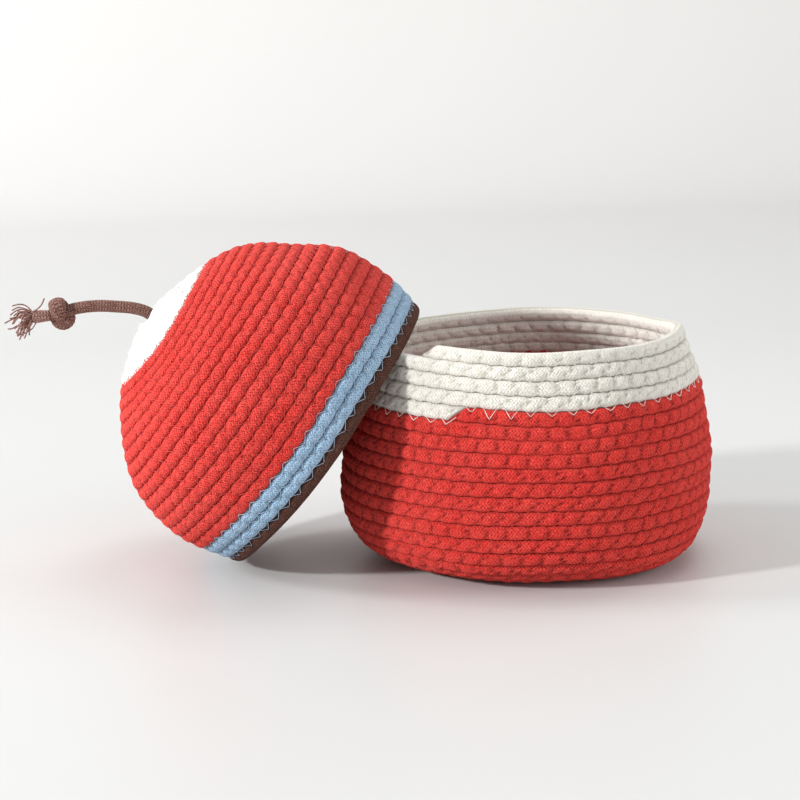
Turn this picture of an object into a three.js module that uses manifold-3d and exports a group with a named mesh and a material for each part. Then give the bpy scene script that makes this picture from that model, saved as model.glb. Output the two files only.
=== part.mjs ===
// Coiled rope storage basket with a loose domed lid, after the photograph.
// Millimetres, +Z up. The origin is the middle of the basket's flat base; the front faces -Y.
// Each rope colour is its own length of rope, wound in one spiral and sewn to the row below it.

import * as THREE from 'three';
import { mergeVertices } from 'three/addons/utils/BufferGeometryUtils.js';
import Module from 'manifold-3d';

const wasm = await Module();
wasm.setup();

// Rope and winding.
const basketRowPitch = 6.95;      // rope row to rope row along the basket's wall
const lidRowPitch = 6.6;          // the lid's rope is drawn a little tighter
const sewingGap = 0.75;           // left between two rows, where the sewing thread runs
const ropeSides = 5;              // a flat side faces out, so the base lies flat on the floor
const stepsPerTurn = 17;
const startBendSteps = 6;
const startStub = 2;              // straight start of the base's rope, past the middle
const buttGap = 0.3;              // between two ropes of different colour, end to end

// Basket outline, at the middle of the rope.
const footRadius = 48;            // the base is flat this far out
const bellyRadius = 92;
const bellyHeight = 48;
const rimRadius = 75.5;
const basketHeight = 114;         // to the middle of the top rope's end
const heelReach = 40.9;           // curve handles: how far the base runs straight out,
const heelRise = 31.7;            // how far the wall runs straight down to the heel,
const bellyRise = 19.8;           // how far the wall runs straight up from the belly,
const rimDraw = 18.4;             // and how long and how far inclined it reaches the rim
const rimFlare = 7.6;
const rimEndAngle = 40;           // where the top rope ends, clockwise from the front
const baseTurns = 8;              // rows of the bottom, wound as one length
const upperWallTurns = 7;         // rows of the wall above the belly
const collarTurns = 4;            // white rows at the rim
const collarLead = 21;            // degrees that the white begins before the rim's end

// Lid outline, at the middle of the rope, in the lid's own frame with its rim at zero.
const lidRimRadius = 77.3;
const lidWideRadius = 83.1;
const lidWideHeight = 29.9;
const lidApexHeight = 108;
const crownReach = 75.2;
const crownDrop = 16.4;
const shoulderRise = 20.4;
const lidWaistDraw = 3.9;
const lidRimFlare = 6;
const lidRimDraw = 17.6;
const lidEndAngle = 240;          // where the brown rope ends, at the lid's back
const brownTurns = 1;
const blueTurns = 2;
const domeTurns = 7;              // red rows above the band
const crownTurns = 8;             // red rows between those and the cap

// Handle: one cord through the lid's middle, knotted outside and inside.
const cordDiameter = 6.2;
const cordSides = 8;
const cordHoleClearance = 0.35;
const knotGap = 0.3;
const knotRingRadius = 5;
const knotRingTilt = 38;
const knotCorePast = 0.2;         // the cord's own line runs this far past the wraps
const stopRingRadius = 4.6;
const tailLength = 10;
const frayLength = 13;
const frayThickness = 1.5;
const frayRoot = 2;               // the strands start this far inside the tail
const cordSteps = 6;
const wrapSteps = 14;
const strandSides = 4;

// The cord's middle line in the lid's frame, from inside the lid to the knot: [x, z].
const cordRoute = [
  [0, 99], [0, 103], [0.2, 107.5], [0.7, 112], [-0.9, 118.6],
  [-3.9, 125.2], [-7.6, 131.6], [-11.8, 137.3], [-16.4, 142.3],
];

// Where the lid lies: taken off, its rim on the floor, leaned against the basket.
const lidLean = 35.5;             // tilt of the lid's axis above the floor
const lidAway = 103;              // middle of the lid's rim, to the basket's left
const floorClearance = 0.4;
const lidSeatGap = 0.6;           // between the rims when the lid is on

const sameVertex = 1e-4;          // corners this close are one, before solids are joined

const flatDrop = Math.cos(Math.PI / ropeSides);
const sideReach = Math.sin(2 * Math.PI / ropeSides);
const basketRopeRadius = (basketRowPitch - sewingGap) / (2 * sideReach);
const lidRopeRadius = (lidRowPitch - sewingGap) / (2 * sideReach);
const stepAngle = 360 / stepsPerTurn;
const baseLevel = basketRopeRadius * flatDrop;
const cordRadius = cordDiameter / 2;

// The chords of a turn lie as far inside its circle as its corners lie outside.
const cornerSpread = 2 / (1 + Math.cos(Math.PI / stepsPerTurn));

const rad = THREE.MathUtils.degToRad;

function basketOutline() {
  const line = new THREE.CurvePath();
  const foot = new THREE.Vector2(footRadius, baseLevel);
  const belly = new THREE.Vector2(bellyRadius, bellyHeight);
  const rim = new THREE.Vector2(rimRadius, basketHeight);
  line.add(new THREE.LineCurve(new THREE.Vector2(0, baseLevel), foot));
  line.add(new THREE.CubicBezierCurve(
    foot,
    new THREE.Vector2(footRadius + heelReach, baseLevel),
    new THREE.Vector2(bellyRadius, bellyHeight - heelRise),
    belly,
  ));
  line.add(new THREE.CubicBezierCurve(
    belly,
    new THREE.Vector2(bellyRadius, bellyHeight + bellyRise),
    new THREE.Vector2(rimRadius + rimFlare, basketHeight - rimDraw),
    rim,
  ));
  return line;
}

function lidOutline() {
  const line = new THREE.CurvePath();
  const wide = new THREE.Vector2(lidWideRadius, lidWideHeight);
  line.add(new THREE.CubicBezierCurve(
    new THREE.Vector2(0, lidApexHeight),
    new THREE.Vector2(crownReach, lidApexHeight - crownDrop),
    new THREE.Vector2(lidWideRadius, lidWideHeight + shoulderRise),
    wide,
  ));
  line.add(new THREE.CubicBezierCurve(
    wide,
    new THREE.Vector2(lidWideRadius, lidWideHeight - lidWaistDraw),
    new THREE.Vector2(lidRimRadius + lidRimFlare, lidRimDraw),
    new THREE.Vector2(lidRimRadius, 0),
  ));
  return line;
}

// A point at a radius and a height, turned clockwise from the front, seen from above.
function around(radius, height, angle) {
  const turn = rad(angle);
  return new THREE.Vector3(-radius * Math.sin(turn), -radius * Math.cos(turn), height);
}

// The rope's section: corners as [towards the outside, along the outline].
function ropeCorners(radius) {
  return Array.from({ length: ropeSides }, (_, i) => {
    const angle = (i + 0.5) * 2 * Math.PI / ropeSides;
    return [radius * Math.cos(angle), radius * Math.sin(angle)];
  });
}

// A spiral is counted in steps back from the rim: step 0 is the rope's end there.
function winding(outline, rowPitch, ropeRadius, endAngle, sense, outside) {
  const length = outline.getLength();
  const whole = Math.round(length / rowPitch * stepsPerTurn);
  const pitch = length / whole * stepsPerTurn;
  const corners = ropeCorners(ropeRadius);
  const share = stepsFromEnd => 1 - stepsFromEnd / whole;

  function ring(stepsFromEnd) {
    const at = outline.getPointAt(share(stepsFromEnd));
    const run = outline.getTangentAt(share(stepsFromEnd));
    const angle = endAngle - sense * stepsFromEnd * stepAngle;
    return corners.map(([out, side]) => {
      const radius = at.x + outside * out * run.y + side * run.x;
      const height = at.y - outside * out * run.x + side * run.y;
      return around(radius * cornerSpread, height, angle);
    });
  }

  // Rings from one step to a lower one. An end that meets another rope is drawn back from it.
  function rings(first, last, meetsAtFirst = true) {
    const drawnBack = steps => buttGap / 2 / rad(stepAngle) / outline.getPointAt(share(steps)).x;
    const list = [ring(first - (meetsAtFirst ? drawnBack(first) : 0))];
    for (let step = first - 1; step > last; step -= 1) list.push(ring(step));
    list.push(ring(last + (last > 0 ? drawnBack(last) : 0)));
    return list;
  }

  return { rings, pitch, whole };
}

// A closed tube through rings of corners, with flat ends.
function tube(rings) {
  const sides = rings[0].length;
  const positions = rings.flat().flatMap(p => [p.x, p.y, p.z]);
  const faces = [];
  const face = (...corners) => faces.push(...corners);
  for (let i = 0; i + 1 < rings.length; i += 1) {
    for (let j = 0; j < sides; j += 1) {
      const a = i * sides + j;
      const b = i * sides + (j + 1) % sides;
      face(a, b, b + sides);
      face(a, b + sides, a + sides);
    }
  }
  const last = (rings.length - 1) * sides;
  for (let j = 1; j + 1 < sides; j += 1) {
    face(0, j + 1, j);
    face(last, last + j, last + j + 1);
  }
  const geometry = new THREE.BufferGeometry();
  geometry.setAttribute('position', new THREE.Float32BufferAttribute(positions, 3));
  geometry.setIndex(faces);
  geometry.computeVertexNormals();
  return geometry;
}

// Least distance of a coil to itself, between corners more than a third of a turn apart.
function leastGap(rings) {
  const points = [];
  rings.forEach((ring, i) => ring.forEach((corner, j) => {
    points.push([i, corner]);
    if (i + 1 < rings.length) points.push([i + 0.5, corner.clone().lerp(rings[i + 1][j], 0.5)]);
  }));
  const apart = Math.min(stepsPerTurn / 3, startBendSteps);
  let least = Infinity;
  for (let a = 0; a < points.length; a += 1) {
    for (let b = a + 1; b < points.length; b += 1) {
      if (points[b][0] - points[a][0] > apart) {
        least = Math.min(least, points[a][1].distanceToSquared(points[b][1]));
      }
    }
  }
  return Math.sqrt(least);
}

function solidOf(geometry) {
  const bare = geometry.clone();
  bare.deleteAttribute('normal');
  bare.deleteAttribute('uv');
  const merged = mergeVertices(bare, sameVertex);
  return new wasm.Manifold(new wasm.Mesh({
    numProp: 3,
    vertProperties: new Float32Array(merged.attributes.position.array),
    triVerts: new Uint32Array(merged.index.array),
  }));
}

function joined(geometries) {
  const whole = geometries.map(solidOf).reduce((sum, next) => sum.add(next));
  const mesh = whole.getMesh();
  const geometry = new THREE.BufferGeometry();
  geometry.setAttribute('position', new THREE.Float32BufferAttribute(mesh.vertProperties, 3));
  geometry.setIndex(Array.from(mesh.triVerts));
  geometry.computeVertexNormals();
  return geometry;
}

const colours = {
  redRope: 0xcf342e,
  whiteRope: 0xe9e4d8,
  blueRope: 0x9dbcd6,
  brownRope: 0x5a3a31,
  cord: 0x6b4a3f,
};

function piece(name, geometry, colour) {
  const material = new THREE.MeshStandardMaterial({ color: colour, roughness: 0.9, metalness: 0 });
  const mesh = new THREE.Mesh(geometry, material);
  mesh.name = name;
  return mesh;
}

const basket = new THREE.Group();
const lid = new THREE.Group();

// Basket: the rope starts in the middle of the base, bends round and spirals out and up.
const basketWinding = winding(basketOutline(), basketRowPitch, basketRopeRadius, rimEndAngle, 1, 1);
const spiralStart = basketWinding.whole - stepsPerTurn;
const startAngle = rimEndAngle - spiralStart * stepAngle;

function startBend() {
  const bend = basketWinding.pitch / 2;
  const middle = around(bend, baseLevel, startAngle);
  const outwards = around(1, 0, startAngle);
  const onwards = around(1, 0, startAngle + 90);
  const corners = ropeCorners(basketRopeRadius);
  const ringAt = (turn, stub) => corners.map(([out, side]) => {
    const reach = bend + side;
    return middle.clone()
      .addScaledVector(outwards, -reach * Math.cos(turn))
      .addScaledVector(onwards, -reach * Math.sin(turn) + stub)
      .setZ(baseLevel - out);
  });
  const list = [ringAt(0, startStub)];
  for (let i = 0; i < startBendSteps; i += 1) list.push(ringAt(Math.PI * i / startBendSteps, 0));
  return list;
}

const collarSteps = Math.round(collarTurns * stepsPerTurn + collarLead / stepAngle);
const upperWallSteps = collarSteps + upperWallTurns * stepsPerTurn;
const wallSteps = spiralStart - baseTurns * stepsPerTurn;

// Lid: the white cap starts round the handle cord, and the rope winds out to the rim.
const lidWinding = winding(lidOutline(), lidRowPitch, lidRopeRadius, lidEndAngle, -1, -1);
const capStart = cordRadius + cordHoleClearance + lidRopeRadius * sideReach;
const capSteps = lidWinding.whole - Math.round(capStart / lidWinding.pitch * stepsPerTurn);
const rimSteps = brownTurns * stepsPerTurn;
const bandSteps = rimSteps + blueTurns * stepsPerTurn;
const domeSteps = bandSteps + domeTurns * stepsPerTurn;
const crownSteps = domeSteps + crownTurns * stepsPerTurn;

const baseRings = [...startBend(), ...basketWinding.rings(spiralStart, wallSteps, false)];
const coils = [
  [basket, 'base_coil', colours.redRope, baseRings],
  [basket, 'lower_wall_coil', colours.redRope, basketWinding.rings(wallSteps, upperWallSteps)],
  [basket, 'upper_wall_coil', colours.redRope, basketWinding.rings(upperWallSteps, collarSteps)],
  [basket, 'collar_coil', colours.whiteRope, basketWinding.rings(collarSteps, 0)],
  [lid, 'lid_cap_coil', colours.whiteRope, lidWinding.rings(capSteps, crownSteps, false)],
  [lid, 'lid_crown_coil', colours.redRope, lidWinding.rings(crownSteps, domeSteps)],
  [lid, 'lid_dome_coil', colours.redRope, lidWinding.rings(domeSteps, bandSteps)],
  [lid, 'lid_band_coil', colours.blueRope, lidWinding.rings(bandSteps, rimSteps)],
  [lid, 'lid_rim_cord', colours.brownRope, lidWinding.rings(rimSteps, 0)],
];
for (const [body, name, colour, rings] of coils) {
  body.add(piece(name, tube(rings), colour));
  console.log(name, 'least gap to itself', leastGap(rings).toFixed(3), 'mm');
}

// Handle cord through the cap, in the lid's frame.
const cordPoints = cordRoute.map(([x, z]) => new THREE.Vector3(x, 0, z));
const cordLine = new THREE.CatmullRomCurve3(cordPoints);

function roundSection(radius, sides) {
  const points = Array.from({ length: sides }, (_, i) => {
    const angle = i * 2 * Math.PI / sides;
    return new THREE.Vector2(radius * Math.cos(angle), radius * Math.sin(angle));
  });
  return new THREE.Shape(points);
}

function runAlong(line, radius, sides, steps) {
  const options = { steps, bevelEnabled: false, extrudePath: line };
  return new THREE.ExtrudeGeometry(roundSection(radius, sides), options);
}

lid.add(piece('handle_cord', runAlong(cordLine, cordRadius, cordSides, cordSteps), colours.cord));

// A straight cylinder from one point to another.
function rod(from, to, radiusFrom, radiusTo, sides) {
  const along = to.clone().sub(from);
  const geometry = new THREE.CylinderGeometry(radiusTo, radiusFrom, along.length(), sides);
  const turn = new THREE.Quaternion().setFromUnitVectors(new THREE.Vector3(0, 1, 0), along.normalize());
  return geometry.applyQuaternion(turn).translate(...from.clone().add(to).multiplyScalar(0.5).toArray());
}

// A pulled knot: two crossed wraps of the cord round its own line.
function knot(start, direction, ringRadius) {
  const half = ringRadius * Math.sin(rad(knotRingTilt)) + cordRadius + knotCorePast;
  const middle = start.clone().addScaledVector(direction, half);
  const end = start.clone().addScaledVector(direction, 2 * half);
  const facing = new THREE.Quaternion().setFromUnitVectors(new THREE.Vector3(0, 0, 1), direction);
  const wrap = tilt => new THREE.TorusGeometry(ringRadius, cordRadius, cordSides, wrapSteps)
    .rotateY(rad(tilt)).applyQuaternion(facing).translate(...middle.toArray());
  const core = rod(start, end, cordRadius, cordRadius, cordSides);
  return { geometry: joined([core, wrap(knotRingTilt), wrap(-knotRingTilt)]), middle, end };
}

const cordEnd = cordLine.getPointAt(1);
const cordDirection = cordLine.getTangentAt(1);
const knotStart = cordEnd.clone().addScaledVector(cordDirection, knotGap);
const handleKnot = knot(knotStart, cordDirection, knotRingRadius);
lid.add(piece('handle_knot', handleKnot.geometry, colours.cord));

const cordFoot = cordLine.getPointAt(0);
const inwards = cordLine.getTangentAt(0).negate();
const stopStart = cordFoot.clone().addScaledVector(inwards, knotGap);
lid.add(piece('stop_knot', knot(stopStart, inwards, stopRingRadius).geometry, colours.cord));

// The cord's end past the knot, teased out into strands: [sideways, across, length share].
const strandLeans = [[0, 0, 1], [0.5, 0.2, 0.8], [-0.5, 0.1, 0.9], [0.2, 0.6, 0.75], [-0.3, 0.55, 0.9],
  [0.3, -0.55, 0.85], [-0.25, -0.6, 0.7]];

function frayedEnd(start, direction) {
  const tip = start.clone().addScaledVector(direction, tailLength);
  const across = new THREE.Vector3(0, 1, 0);
  const sideways = new THREE.Vector3().crossVectors(across, direction);
  const root = start.clone().addScaledVector(direction, tailLength - frayRoot);
  const strands = strandLeans.map(([side, over, share]) => {
    const away = direction.clone().addScaledVector(sideways, side).addScaledVector(across, over);
    const foot = root.clone()
      .addScaledVector(sideways, side * cordRadius)
      .addScaledVector(across, over * cordRadius);
    const point = foot.clone().addScaledVector(away.normalize(), frayLength * share);
    return rod(foot, point, frayThickness / 2, frayThickness / 3, strandSides);
  });
  return joined([rod(start, tip, cordRadius, cordRadius, cordSides), ...strands]);
}

const tailStart = handleKnot.end.clone().addScaledVector(cordDirection, knotGap);
lid.add(piece('frayed_end', frayedEnd(tailStart, cordDirection), colours.cord));

// The lid leans to the left, its axis tilted, the rim's lowest rope just clear of the floor.
lid.rotation.y = -rad(90 - lidLean);
lid.updateMatrixWorld(true);
let lowest = Infinity;
for (const corner of lidWinding.rings(rimSteps, 0).flat()) {
  lowest = Math.min(lowest, corner.clone().applyMatrix4(lid.matrixWorld).z);
}
lid.position.set(-lidAway, 0, floorClearance - lowest);

const object = new THREE.Group();
object.add(basket, lid);

// The stand-in hinge that carries the lid to its seat on the rim.
const seatHeight = basketHeight + basketRopeRadius * sideReach + lidSeatGap + lidRopeRadius * sideReach;
const swing = rad(90 - lidLean);
const way = new THREE.Vector2(lidAway, seatHeight - lid.position.z);
const pivotX = -lidAway + way.x / 2 + way.y / 2 / Math.tan(swing / 2);
const pivotZ = lid.position.z + way.y / 2 - way.x / 2 / Math.tan(swing / 2);

console.log('lid hinge at x', pivotX.toFixed(2), 'z', pivotZ.toFixed(2), 'swing', (90 - lidLean).toFixed(1));
console.log('lid middle at z', lid.position.z.toFixed(2), 'cord length', cordLine.getLength().toFixed(1));

export default object;
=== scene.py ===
import math

import bmesh
import bpy
import numpy as np
from mathutils import Matrix, Vector


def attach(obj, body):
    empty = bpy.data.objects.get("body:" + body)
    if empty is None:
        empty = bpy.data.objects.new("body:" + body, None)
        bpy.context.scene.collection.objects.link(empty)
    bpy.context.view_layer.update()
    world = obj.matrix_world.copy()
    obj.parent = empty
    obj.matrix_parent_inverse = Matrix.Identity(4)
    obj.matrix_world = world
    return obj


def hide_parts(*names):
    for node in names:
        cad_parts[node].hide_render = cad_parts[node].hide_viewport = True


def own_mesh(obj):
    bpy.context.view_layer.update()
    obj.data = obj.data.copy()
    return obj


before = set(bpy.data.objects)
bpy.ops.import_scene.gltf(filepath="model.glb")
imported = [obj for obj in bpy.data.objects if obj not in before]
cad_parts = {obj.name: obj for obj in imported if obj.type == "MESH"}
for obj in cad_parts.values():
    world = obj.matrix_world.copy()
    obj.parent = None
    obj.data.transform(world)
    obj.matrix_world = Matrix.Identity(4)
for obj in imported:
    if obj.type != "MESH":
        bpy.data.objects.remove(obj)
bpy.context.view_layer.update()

mm = 0.001
fullTurn = 2 * math.pi

# The camera stands where the photograph was taken: a long lens, looking a little down.
photoView = {
    "place": (-0.0645, -1.110, 0.297),
    "lens": 99.0,
    "sensor": 36.0,
    "down": 11.0,
    "lean": 1.8,
}

cameraData = bpy.data.cameras.new("camera")
cameraData.lens = photoView["lens"]
cameraData.sensor_width = photoView["sensor"]
cameraData.clip_end = 20
camera = bpy.data.objects.new("camera", cameraData)
bpy.context.scene.collection.objects.link(camera)
camera.matrix_world = (
    Matrix.Translation(photoView["place"])
    @ Matrix.Rotation(math.radians(90 - photoView["down"]), 4, "X")
    @ Matrix.Rotation(math.radians(-photoView["lean"]), 4, "Z")
)
bpy.context.scene.camera = camera
print("camera placed")


# Small helpers for shader nodes. Colours are given as they look on a screen, up to 255.
def linear(red, green, blue):
    parts = []
    for value in (red / 255, green / 255, blue / 255):
        parts.append(value / 12.92 if value < 0.04045 else ((value + 0.055) / 1.055) ** 2.4)
    return (*parts, 1)


def newMaterial(name):
    material = bpy.data.materials.new(name)
    material.use_nodes = True
    tree = material.node_tree
    return material, tree, tree.nodes["Principled BSDF"]


def calculate(tree, operation, first, second=0.0, third=0.0):
    node = tree.nodes.new("ShaderNodeMath")
    node.operation = operation
    for socket, value in zip(node.inputs, (first, second, third)):
        if isinstance(value, (int, float)):
            socket.default_value = value
        else:
            tree.links.new(value, socket)
    return node.outputs[0]


def noise(tree, coordinates, scale, detail):
    node = tree.nodes.new("ShaderNodeTexNoise")
    node.inputs["Scale"].default_value = scale
    node.inputs["Detail"].default_value = detail
    tree.links.new(coordinates, node.inputs["Vector"])
    return node.outputs["Fac"]


# Inputs 0, 6 and 7 of the mix node are its share and its two colours.
def blendColours(tree, share, first, second):
    node = tree.nodes.new("ShaderNodeMix")
    node.data_type = "RGBA"
    for number, value in ((0, share), (6, first), (7, second)):
        socket = node.inputs[number]
        if isinstance(value, (int, float, tuple)):
            socket.default_value = value
        else:
            tree.links.new(value, socket)
    return node.outputs[2]


# A value from 0 to 1, spread to run from low to high.
def spread(tree, value, low, high):
    node = tree.nodes.new("ShaderNodeMapRange")
    node.inputs["To Min"].default_value = low
    node.inputs["To Max"].default_value = high
    tree.links.new(value, node.inputs["Value"])
    return node.outputs[0]


# A share that rises from 0 to top as value goes from low to high.
def between(tree, value, low, high, top):
    node = tree.nodes.new("ShaderNodeMapRange")
    for name, number in (("From Min", low), ("From Max", high), ("To Min", 0), ("To Max", top)):
        node.inputs[name].default_value = number
    tree.links.new(value, node.inputs["Value"])
    return node.outputs[0]


def addBump(tree, shader, height, distance):
    bump = tree.nodes.new("ShaderNodeBump")
    bump.inputs["Distance"].default_value = distance
    bump.inputs["Strength"].default_value = 1.0
    tree.links.new(height, bump.inputs["Height"])
    tree.links.new(bump.outputs[0], shader.inputs["Normal"])


# Cotton rope: a knitted cover in small chevrons, felted by wear, with painted shade where the sewing
# draws it in and along the grooves between rows. The map called cover runs along the rope and round
# it, in metres.
knitCover = {
    "stitch": 1.6 * mm,
    "column": 2.3 * mm,
    "slant": 0.8,
    "ribDepth": 1.2,
    "depth": 0.45 * mm,
    "fuzz": 1500,  # how fine the noises are, in waves a metre
    "felt": 420,
    "dye": 45,
    "pores": 900,
    "fuzzRelief": 1.6,
    "feltRelief": 1.4,
    "knitTroughShade": -0.22,
    "faded": (0.0, 0.5),  # the least and the most of the other colour
    "worn": (-0.25, 0.6),
    # Dark specks, partly at random from the grain noise and partly painted shade in the knit's
    # troughs.
    "porous": (0.5, 0.72, 0.85),  # where it comes in, where it is full, and the most of it
    "fuzzy": (0.52, 0.7, 0.7),
    # painted shade in pits, creases and grooves: where it comes in, where it is full, the most of it
    "paintedPitShade": (0.45, 1.0, 0.95),
}


def cottonRope(name, colour, deepColour, paleColour, sheen=0.35, pitShade=0.4):
    material, tree, shader = newMaterial(name)
    # The colour of the painted shade: the deep colour, darkened by pitShade.
    pitShadeColour = tuple(part * pitShade for part in deepColour[:3]) + (1,)
    objectSpace = tree.nodes.new("ShaderNodeTexCoord").outputs["Object"]
    cover = tree.nodes.new("ShaderNodeUVMap")
    cover.uv_map = "cover"
    split = tree.nodes.new("ShaderNodeSeparateXYZ")
    tree.links.new(cover.outputs[0], split.inputs[0])
    along, around = split.outputs[0], split.outputs[1]

    column = calculate(tree, "FRACT", calculate(tree, "DIVIDE", around, knitCover["column"]))
    fromRib = calculate(tree, "ABSOLUTE", calculate(tree, "SUBTRACT", column, 0.5))
    slanted = calculate(tree, "MULTIPLY", fromRib, 2 * knitCover["slant"])
    row = calculate(tree, "ADD", calculate(tree, "DIVIDE", along, knitCover["stitch"]), slanted)
    wave = calculate(tree, "SINE", calculate(tree, "MULTIPLY", row, fullTurn))
    rib = calculate(tree, "MULTIPLY", fromRib, -knitCover["ribDepth"])
    knit = calculate(tree, "ADD", calculate(tree, "MULTIPLY", wave, 0.5), rib)

    fuzz = noise(tree, objectSpace, knitCover["fuzz"], 4)
    felt = noise(tree, objectSpace, knitCover["felt"], 3)
    dye = noise(tree, objectSpace, knitCover["dye"], 2)
    grain = noise(tree, objectSpace, knitCover["pores"], 2)
    # The drawnIn attribute holds painted shade for the sewing's pits, creases and folds, the grooves
    # between rows and the dips between plaits.
    paintedShade = tree.nodes.new("ShaderNodeAttribute")
    paintedShade.attribute_name = "drawnIn"

    tone = blendColours(tree, spread(tree, dye, *knitCover["faded"]), colour, paleColour)
    tone = blendColours(tree, spread(tree, felt, *knitCover["worn"]), tone, deepColour)
    # Random grain, plus painted shade where the knit dips.
    pores = calculate(tree, "MULTIPLY_ADD", wave, knitCover["knitTroughShade"], grain)
    tone = blendColours(tree, between(tree, pores, *knitCover["porous"]), tone, deepColour)
    tone = blendColours(tree, between(tree, fuzz, *knitCover["fuzzy"]), tone, paleColour)
    paintedPitShade = between(tree, paintedShade.outputs["Fac"], *knitCover["paintedPitShade"])
    tone = blendColours(tree, paintedPitShade, tone, pitShadeColour)
    tree.links.new(tone, shader.inputs["Base Color"])

    shader.inputs["Roughness"].default_value = 0.95
    shader.inputs["Specular IOR Level"].default_value = 0.15
    shader.inputs["Sheen Weight"].default_value = sheen
    shader.inputs["Sheen Roughness"].default_value = 0.5
    shader.inputs["Sheen Tint"].default_value = paleColour
    rough = calculate(tree, "MULTIPLY_ADD", fuzz, knitCover["fuzzRelief"], knit)
    rough = calculate(tree, "MULTIPLY_ADD", felt, knitCover["feltRelief"], rough)
    addBump(tree, shader, rough, knitCover["depth"])
    return material


# Sewing thread: two plies whose twist shows as fine bands, with a faint gloss.
threadPlies = {"fineness": 2600, "depth": 0.06 * mm, "shaded": (-0.2, 0.7)}


def sewingThread(name, colour, deepColour):
    material, tree, shader = newMaterial(name)
    objectSpace = tree.nodes.new("ShaderNodeTexCoord").outputs["Object"]
    plies = noise(tree, objectSpace, threadPlies["fineness"], 2)
    tone = blendColours(tree, spread(tree, plies, *threadPlies["shaded"]), colour, deepColour)
    tree.links.new(tone, shader.inputs["Base Color"])
    shader.inputs["Roughness"].default_value = 0.7
    shader.inputs["Specular IOR Level"].default_value = 0.3
    shader.inputs["Sheen Weight"].default_value = 0.2
    addBump(tree, shader, plies, threadPlies["depth"])
    return material


finishes = {
    "red_rope": cottonRope(
        "red_rope", linear(228, 44, 39), linear(146, 13, 12), linear(254, 104, 94), sheen=0.65
    ),
    "white_rope": cottonRope(
        "white_rope", linear(245, 242, 233), linear(206, 199, 182), linear(254, 253, 249),
        sheen=0.4, pitShade=0.88,
    ),
    # The lid's red is the basket's red rope painted a little paler: painted light for the stronger
    # light on the lid.
    "lid_rope_painted_lighter": cottonRope(
        "lid_rope_painted_lighter", linear(234, 50, 45), linear(148, 16, 14), linear(255, 112, 102), sheen=0.65
    ),
    # The cap's white is the collar's white rope painted whiter, with hardly any painted shade in its
    # pits: painted light for the strong light on the cap.
    "cap_rope_painted_whiter": cottonRope(
        "cap_rope_painted_whiter", linear(252, 251, 246), linear(243, 240, 232), linear(255, 255, 252),
        sheen=0.4, pitShade=0.95,
    ),
    "blue_rope": cottonRope(
        "blue_rope", linear(163, 196, 222), linear(106, 143, 180), linear(196, 217, 234),
        pitShade=0.3,
    ),
    "brown_rope": cottonRope(
        "brown_rope", linear(80, 50, 41), linear(48, 28, 23), linear(112, 78, 67)
    ),
    "handle_cord": cottonRope(
        "handle_cord", linear(142, 104, 95), linear(84, 54, 48), linear(176, 136, 124), sheen=0.5
    ),
    "frayed_cord": cottonRope(
        "frayed_cord", linear(172, 130, 120), linear(112, 78, 70), linear(208, 168, 158), sheen=0.6
    ),
    "red_thread": sewingThread("red_thread", linear(206, 52, 44), linear(160, 28, 24)),
    "white_thread": sewingThread("white_thread", linear(246, 244, 238), linear(216, 210, 198)),
    "pale_thread": sewingThread("pale_thread", linear(176, 198, 216), linear(138, 162, 186)),
}
print("finishes made")


# The two coils, with the same driving sizes as the solids, in millimetres. Each profile runs
# from the middle to the rim in curves of four points, as radius and height. Crown is half the
# rope's thickness, power how square its section is, and pressed its width in rows.
stepsPerTurn = 17
floorRest = 0.1 * mm
coilDetail = {"curveSteps": 400, "pastRim": 0.02, "samples": 6000}

basketShape = {
    "curves": [
        [(0, 2.64), (16, 2.64), (32, 2.64), (48, 2.64)],
        [(48, 2.64), (88.9, 2.64), (92, 16.3), (92, 48)],
        [(92, 48), (92, 67.8), (83.1, 95.6), (75.5, 114)],
    ],
    "rowPitch": 6.95,
    "endAngle": 40,
    "sense": 1,
    "outside": 1,
    "crown": 3.4,
    "power": 2.45,
    "pressed": 1.01,
    "stitch": 9.5,
    "reach": 2.2,
    "foldDepth": 1.2,
    # how much painted shade the grooves between rows get
    "grooveShade": 1.0,
    "edgeSway": 0.2,
    "longStitches": (3.055, 3.1, 2.1),  # from one turn to another, and how much longer
    "ropePast": 4.0,  # how far the rope runs on past the rim's last step
    "bendAt": 454,  # where the start bend joins, in steps back from the rim
    "calmRadius": 55,
}

lidShape = {
    "curves": [
        [(0, 108), (75.2, 91.6), (83.1, 50.3), (83.1, 29.9)],
        [(83.1, 29.9), (83.1, 26), (83.3, 17.6), (77.3, 0)],
    ],
    "rowPitch": 6.6,
    "endAngle": 240,
    "sense": -1,
    "outside": -1,
    "crown": 3.0,
    "power": 2.5,
    "pressed": 1.02,
    "stitch": 9.1,
    "reach": 1.6,
    "foldDepth": 0.75,
    # how much painted shade the grooves between rows get
    "grooveShade": 0.9,
    "edgeSway": 0.12,
    "longStitches": (0, 0, 1),
    "ropePast": 0,
    "bendAt": None,
    "calmRadius": 0,
}

# The lid is modelled upright and then laid down: its axis tips to the left.
lidPlace = {"middle": (-103 * mm, 0, 65.63 * mm), "tip": -54.5}
lidToWorld = Matrix.Translation(lidPlace["middle"]) @ Matrix.Rotation(
    math.radians(lidPlace["tip"]), 4, "Y"
)

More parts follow.
